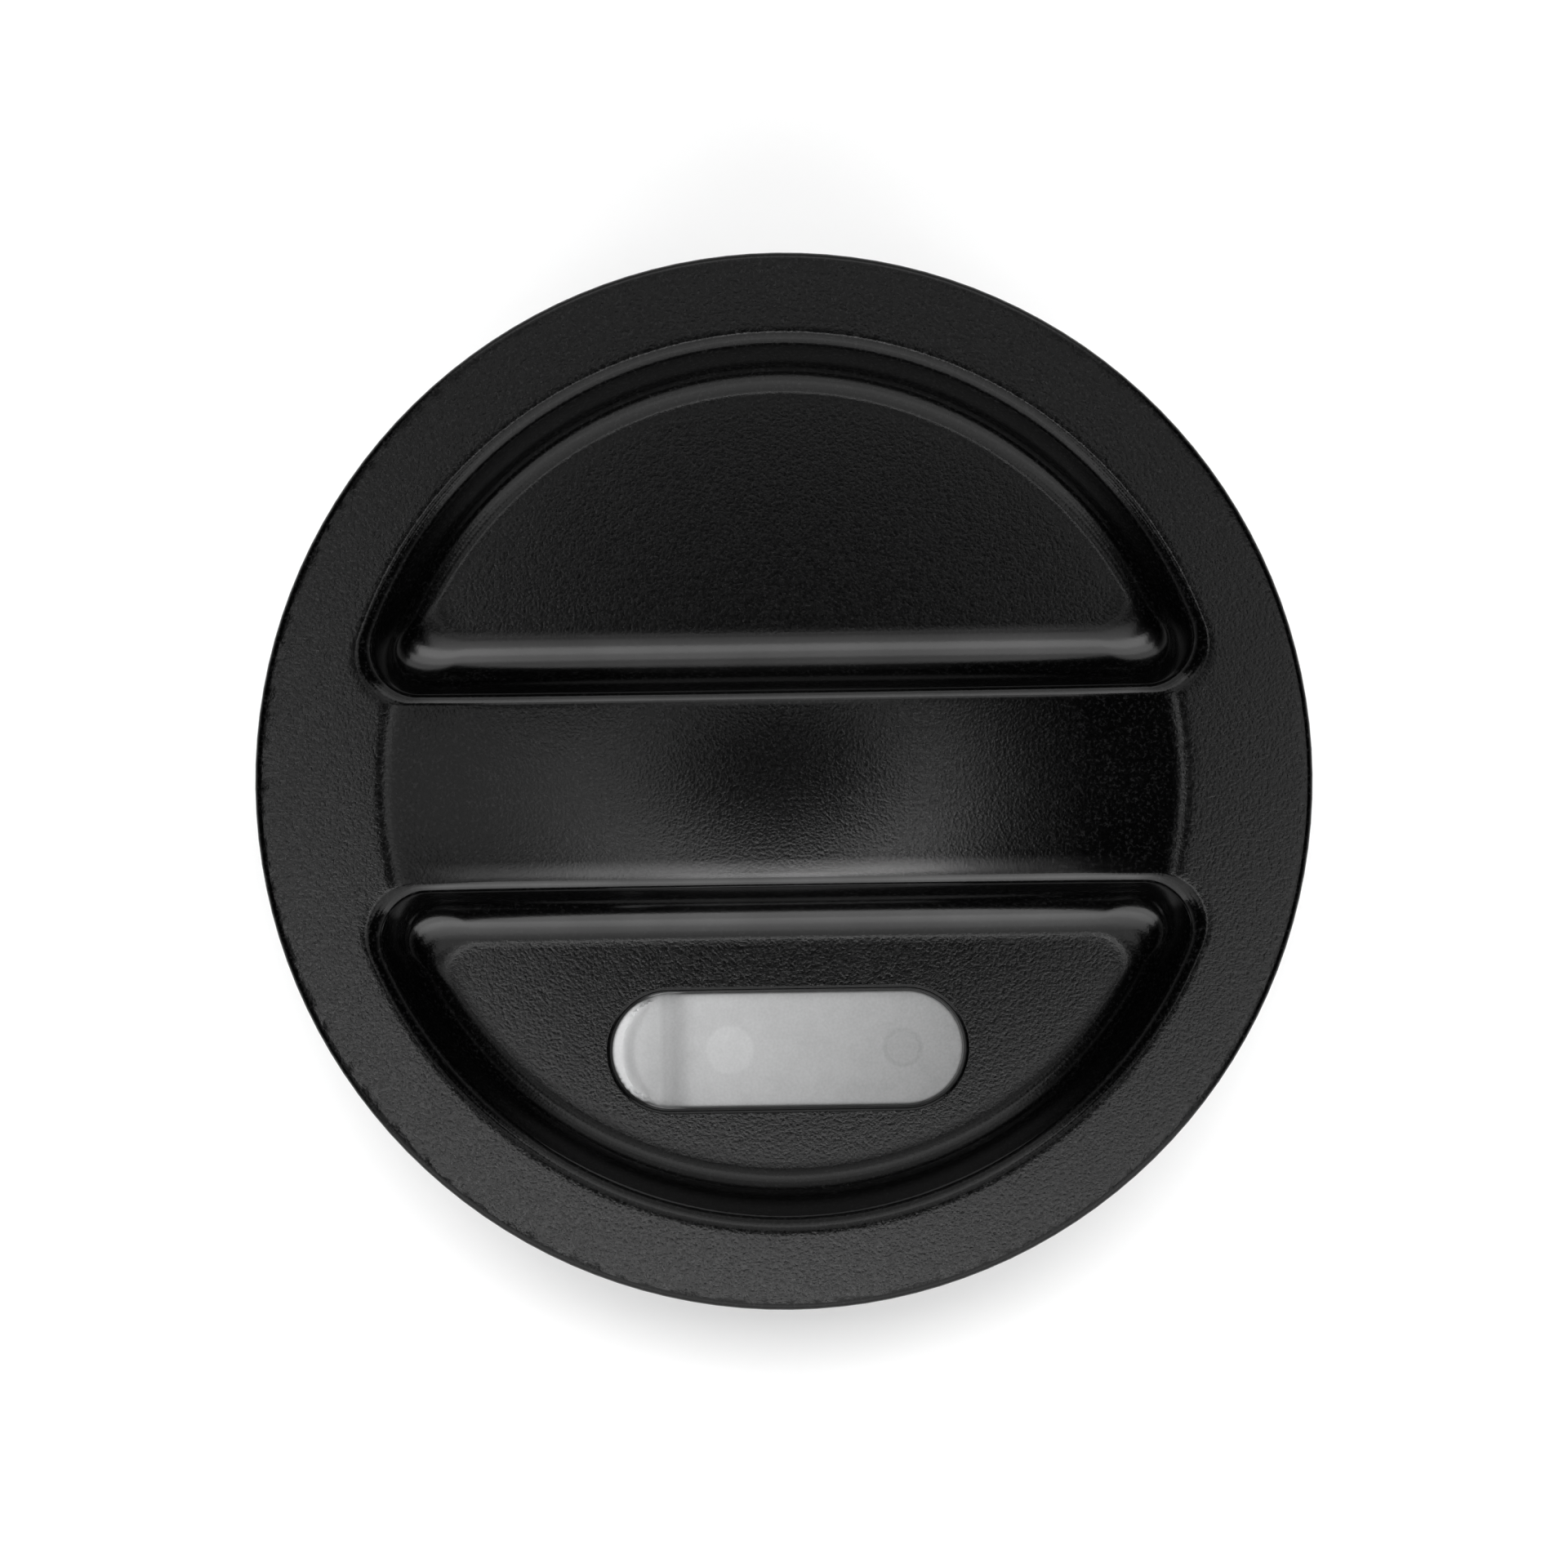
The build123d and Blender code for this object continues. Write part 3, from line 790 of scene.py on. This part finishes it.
def plated_steel(name, dark, bright, roughness, streak):
    """Bright steel with fine marks drawn out along one axis and clouded plating."""
    look = Shading(name, Metallic=1.0)
    marks = look.noise(0.35, detail=5, stretch=streak)
    cloud = look.noise(5, detail=3)
    look.mix_colour(look.remap(cloud, 0.35, 0.65, 0, 1), dark, bright)
    look.link(look.spread(marks, roughness - 0.1, roughness + 0.1), "Roughness")
    look.bump(marks, 0.006)
    return look.material


def acetal():
    """Natural acetal: off-white, slightly waxy."""
    look = Shading("natural_acetal", IOR=1.48, Subsurface_Weight=0.35, Subsurface_Scale=0.001)
    look.shader.inputs["Subsurface Radius"].default_value = (1.0, 0.9, 0.7)
    cloud = look.noise(6, detail=3)
    look.mix_colour(look.spread(cloud, 0, 1), (0.72, 0.71, 0.66), (0.80, 0.79, 0.75))
    fine = look.noise(0.4, detail=3)
    look.link(look.spread(fine, 0.3, 0.42), "Roughness")
    look.bump(fine, 0.004)
    return look.material


def foam():
    """Closed-cell foam: dull, with open skin cells."""
    look = Shading("closed_cell_foam", Roughness=0.88, Specular_IOR_Level=0.25)
    cells = look.cells(0.33)
    cloud = look.noise(1.3, detail=4)
    tint = look.remap(cells, 0.1, 0.6, 0.25, 1)
    tint = look.math("MULTIPLY", tint, look.spread(cloud, 0.7, 1))
    look.mix_colour(tint, (0.012, 0.012, 0.013), (0.055, 0.055, 0.057))
    look.bump(look.math("SUBTRACT", 1.0, cells), 0.12)
    return look.material


def felt():
    """Short matted fibres with a soft sheen."""
    look = Shading("short_felt", Roughness=0.95, Specular_IOR_Level=0.15)
    look.shader.inputs["Sheen Weight"].default_value = 0.5
    look.shader.inputs["Sheen Roughness"].default_value = 0.5
    fibres = look.noise(0.16, detail=5, roughness=0.75, stretch=(1, 1, 3))
    tufts = look.noise(1.1, detail=4, roughness=0.65)
    tint = look.spread(fibres, 0.2, 1)
    tint = look.math("MULTIPLY", tint, look.spread(tufts, 0.5, 1))
    look.mix_colour(tint, (0.018, 0.018, 0.02), (0.09, 0.09, 0.093))
    look.bump(fibres, 0.09)
    return look.material


def milky_plastic():
    """Translucent polypropylene, with a painted highlight on the lip and painted shade in the scoop,
    towards +X and round the pad.
    """
    look = Shading("milky_polypropylene", IOR=1.49, Subsurface_Weight=0.3, Subsurface_Scale=0.001)
    look.shader.inputs["Subsurface Radius"].default_value = (0.8, 0.8, 0.8)
    along, high = look.part_of_place("X"), look.part_of_place("Z")
    across = look.math("ADD", look.part_of_place("Y"), -SLOT_Y * MM)
    # Painted shade: the door's colour darkens towards +X
    shade = look.remap(along, *DOOR_SHADE_FADE, 1, 0.6)
    # Painted shade: a darker band in the finger scoop
    scoop = look.remap(along, *SCOOP_SHADE_LEFT, 0, 1)
    scoop = look.math("MULTIPLY", scoop, look.remap(along, *SCOOP_SHADE_RIGHT, 1, 0))
    shade = look.math("MULTIPLY", shade, look.remap(scoop, 0, 1, 1, 0.8))
    # Painted highlight: the lip's colour is lighter the higher it stands
    lip = look.remap(high, (PAD_Z + 0.05) * MM, (PAD_Z + 0.9) * MM, 0, 0.4)
    shade = look.math("ADD", shade, lip)
    for (x, radius), hollow, tint in ((DISC_MARK, 0.0, 0.1), (RING_MARK, 0.8, -0.08)):
        reach = look.length(look.math("ADD", along, -x * MM), across)
        mark = look.remap(reach, (radius - 0.15) * MM, (radius + 0.1) * MM, tint, 0)
        if hollow:
            inner = radius * hollow
            ring = look.remap(reach, (inner - 0.1) * MM, inner * MM, 0.35, 1)
            mark = look.math("MULTIPLY", mark, ring)
        shade = look.math("ADD", shade, mark)
    cloud = look.noise(1.6, detail=4)
    shade = look.math("ADD", shade, look.spread(cloud, -0.03, 0.03))
    grain = look.noise(0.22, detail=3)
    shade = look.math("ADD", shade, look.spread(grain, -0.05, 0.05))
    # Painted shade: the plate around the pad is darkened, for the gap under the slot's edge
    past_end = look.math("SUBTRACT", look.math("ABSOLUTE", along), PAD_END * MM)
    aside = look.length(look.math("MAXIMUM", past_end, 0.0), across)
    off_pad_shade = look.remap(aside, PAD_HALF * MM, (PAD_HALF + 0.08) * MM, 1, 0.1)
    shade = look.math("MULTIPLY", shade, off_pad_shade)
    look.mix_colour(look.math("MULTIPLY", shade, 0.68), (0.01, 0.01, 0.01), (0.90, 0.905, 0.91))
    look.link(look.spread(grain, 0.42, 0.5), "Roughness")
    look.bump(grain, 0.01)
    return look.material


wear_material(lid, lid_plastic())
wear_material(door, milky_plastic())
wear_material(gasket, foam())
wear_material(felt_ring, felt())

smooth_black = moulded_plastic("smooth_black_plastic", (0.014, 0.014, 0.0148), 0.34, 0.5, 0.003)
liner_black = moulded_plastic("liner_black_plastic", (0.011, 0.0113, 0.0118), 0.38, 0.2, 0.006)
nut_black = moulded_plastic("nut_black_plastic", (0.013, 0.0134, 0.014), 0.36, 0.6, 0.004)
zinc = plated_steel("zinc_plate", (0.60, 0.60, 0.57), (0.68, 0.69, 0.70), 0.30, EVEN_MARKS)
stainless = plated_steel("rolled_stainless", (0.52, 0.51, 0.50), (0.60, 0.60, 0.59), 0.28, MARKS_ALONG)
stamped = plated_steel("stamped_zinc", (0.54, 0.54, 0.53), (0.66, 0.66, 0.64), 0.36, EVEN_MARKS)
node_materials = {
    "door_retainer": smooth_black,
    "retainer_screws": zinc,
    "door_spring": stainless,
    "friction_ring": acetal(),
    "liner_sleeve": liner_black,
    "thrust_washer": stamped,
    "clamp_nut": nut_black,
}
for node, material in node_materials.items():
    wear_material(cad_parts[node], material)

# ---------------------------------------------------------------------------------------------
# Floor and light
# ---------------------------------------------------------------------------------------------
FLOOR_HALF = 3.0
FLOOR_GLOW = 0.04
FLOOR_KEY = 26.0
HORIZON_LIGHT = 0.45
HORIZON_FADE = (0.05, 0.55)
LIGHTS_AWAY = 1.5

# Panels on the -Y and +Y sides: lowest and highest tilt off straight up, and strength
FRONT_PANELS = ((10, 24, 1.7), (24, 40, 2.1), (40, 56, 2.5), (56, 72, 1.8), (72, 86, 1.0))
BACK_PANELS = ((10, 27, 1.2), (27, 42, 2.4), (42, 56, 1.6), (56, 70, 0.8), (70, 86, 0.4))


def make_floor():
    """A plain white floor that the liner stands on."""
    mesh = bpy.data.meshes.new("floor")
    corners = ((-1, -1), (1, -1), (1, 1), (-1, 1))
    points = [(x * FLOOR_HALF, y * FLOOR_HALF, STAND_Z * MM) for x, y in corners]
    mesh.from_pydata(points, [], [(0, 1, 2, 3)])
    floor = bpy.data.objects.new("floor", mesh)
    bpy.context.scene.collection.objects.link(floor)
    look = Shading("backlit_white", Roughness=0.9, Emission_Strength=FLOOR_GLOW)
    look.shader.inputs["Emission Color"].default_value = (1, 1, 1, 1)
    look.mix_colour(look.noise(40), (0.86, 0.86, 0.86), (0.9, 0.9, 0.9))
    wear_material(floor, look.material)
    return floor


def panel(name, low, high, towards, strength, turn=45.0):
    """A soft light over a range of tilts off straight up, turned from +X towards +Y, in degrees."""
    tilt = math.radians((low + high) / 2)
    data = bpy.data.lights.new(name, "AREA")
    data.shape = "RECTANGLE"
    data.size = LIGHTS_AWAY * math.sin(tilt) * math.radians(turn)
    data.size_y = LIGHTS_AWAY * math.radians(high - low)
    data.energy = strength * data.size * data.size_y * math.pi
    angle = math.radians(towards)
    aside = math.sin(tilt)
    way = Vector((aside * math.cos(angle), aside * math.sin(angle), math.cos(tilt)))
    light = bpy.data.objects.new(name, data)
    light.location = way * LIGHTS_AWAY
    light.rotation_euler = way.to_track_quat("Z", "Y").to_euler()
    bpy.context.scene.collection.objects.link(light)
    return light


def overhead_ring(name, low, high, even, lobe, towards):
    """Eight panels round the camera, an even strength and a lobe on one side."""
    for k in range(8):
        facing = max(0.0, math.cos(math.radians(45 * k - towards)))
        panel(f"{name}_{k}", low, high, 45 * k, even + lobe * facing)


def light_floor_only(floor):
    """A light that falls on the floor alone and gives the object its soft shadow on the -Y side."""
    receivers = bpy.data.collections.new("floor_only")
    receivers.objects.link(floor)
    light = panel("floor_key", 3, 13, 90, FLOOR_KEY, turn=190)
    light.light_linking.receiver_collection = receivers


def make_world():
    """A dark studio ceiling above a lighter horizon."""
    world = bpy.data.worlds.new("studio")
    world.use_nodes = True
    nodes, links = world.node_tree.nodes, world.node_tree.links
    way = nodes.new("ShaderNodeTexCoord").outputs["Generated"]
    split = nodes.new("ShaderNodeSeparateXYZ")
    links.new(way, split.inputs["Vector"])
    ramp = nodes.new("ShaderNodeMapRange")
    ramp.interpolation_type = "SMOOTHSTEP"
    for key, number in zip(REMAP_SOCKETS, (*HORIZON_FADE, HORIZON_LIGHT, 0.0)):
        ramp.inputs[key].default_value = number
    links.new(split.outputs["Z"], ramp.inputs["Value"])
    nodes["Background"].inputs["Color"].default_value = (1, 1, 1, 1)
    links.new(ramp.outputs["Result"], nodes["Background"].inputs["Strength"])
    bpy.context.scene.world = world


floor = make_floor()
make_world()
light_floor_only(floor)
overhead_ring("ring_inner", 5, 7, even=2.0, lobe=7.4, towards=250)
overhead_ring("ring_outer", 7, 10, even=0.5, lobe=2.6, towards=310)
panel("card_right", 10, 19, 0, 1.2)
for low, high, strength in FRONT_PANELS:
    panel(f"front_{low}", low, high, 270, strength, turn=140)
for low, high, strength in BACK_PANELS:
    panel(f"back_{low}", low, high, 90, strength, turn=90)
bpy.context.scene.view_settings.view_transform = "Standard"
